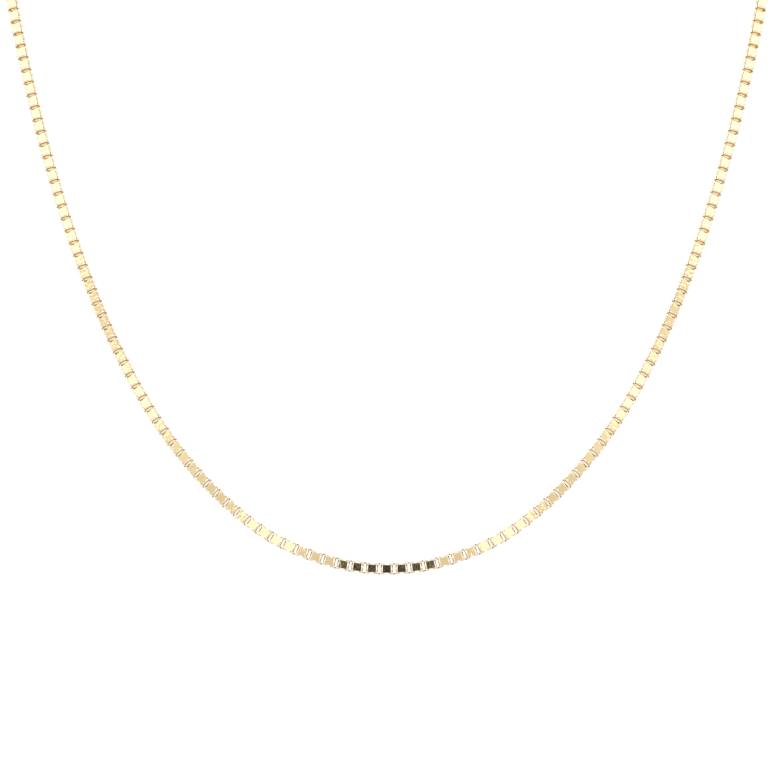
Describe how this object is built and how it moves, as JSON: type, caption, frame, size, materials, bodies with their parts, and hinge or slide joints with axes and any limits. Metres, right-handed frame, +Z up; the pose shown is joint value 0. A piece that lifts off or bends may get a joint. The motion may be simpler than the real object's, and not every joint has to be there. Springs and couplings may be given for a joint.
{
  "type": "box chain necklace",
  "caption": "Fine box chain necklace in its worn shape: square links hooked through each other, closed at the nape by a plain ring clasp on two jump rings.",
  "frame": {"origin": "middle of the nape, on the line of the clasp and jump rings, where the necklace hangs on the back of the neck", "axes": "+Z up, -Y towards the front of the necklace, +X towards the right as seen from the front"},
  "size_m": [0.114, 0.1145, 0.1197],
  "materials": {
    "gold": "mirror-polished yellow gold"
  },
  "bodies": {
    "root": {"box_chain": "gold", "end_link_left": "gold", "end_link_right": "gold", "jump_ring_left": "gold", "jump_ring_right": "gold", "clasp": "gold"}
  },
  "joints": []
}
